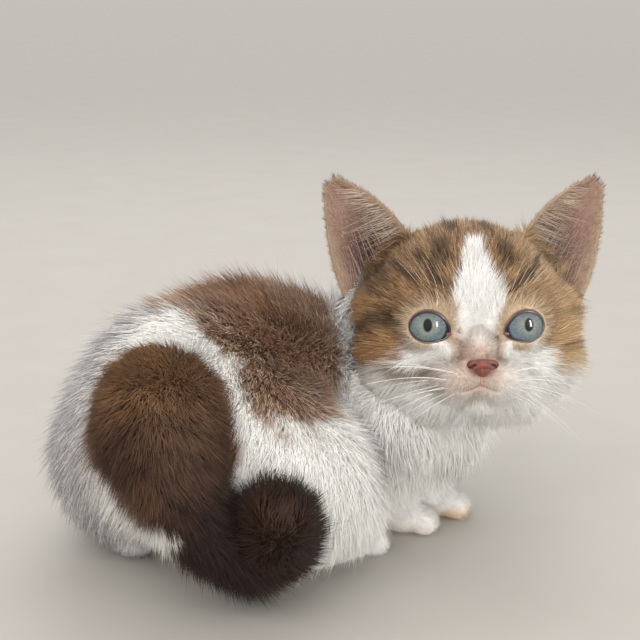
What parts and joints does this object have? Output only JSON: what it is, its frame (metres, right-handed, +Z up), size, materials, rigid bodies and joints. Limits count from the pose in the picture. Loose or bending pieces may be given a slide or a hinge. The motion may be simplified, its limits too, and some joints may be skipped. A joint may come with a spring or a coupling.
{
  "type": "munchkin cat",
  "caption": "Young munchkin cat crouched on short legs, head turned back over its shoulder and bushy tail curled beside it on the floor.",
  "frame": {"origin": "on the floor, under the middle of the cat's overall box", "axes": "+Y from the rump towards the chest, along the longest side; +X to the cat's right, where its head turns; +Z up"},
  "size_m": [0.115, 0.1542, 0.1045],
  "materials": {
    "white_coat": "soft fur",
    "brown_coat": "soft fur",
    "tabby_coat": "soft fur",
    "dark_coat": "bushy fur",
    "nose_skin": "fine grained, slightly moist",
    "ear_skin": "thin skin with short hair",
    "eye": "wet gloss"
  },
  "bodies": {
    "root": {"head": "tabby_coat", "ear_left": "ear_skin", "ear_right": "ear_skin", "eye_left": "eye", "eye_right": "eye", "nose": "nose_skin", "neck": "white_coat", "chest": "white_coat", "torso": "brown_coat", "hips": "white_coat", "hind_leg_left": "white_coat", "hind_leg_right": "white_coat", "hind_foot_left": "white_coat", "hind_foot_right": "white_coat", "fore_leg_left": "white_coat", "fore_leg_right": "white_coat", "fore_paw_left": "white_coat", "fore_paw_right": "white_coat", "tail_root": "brown_coat", "tail_middle": "dark_coat", "tail_tip": "dark_coat"}
  },
  "joints": []
}
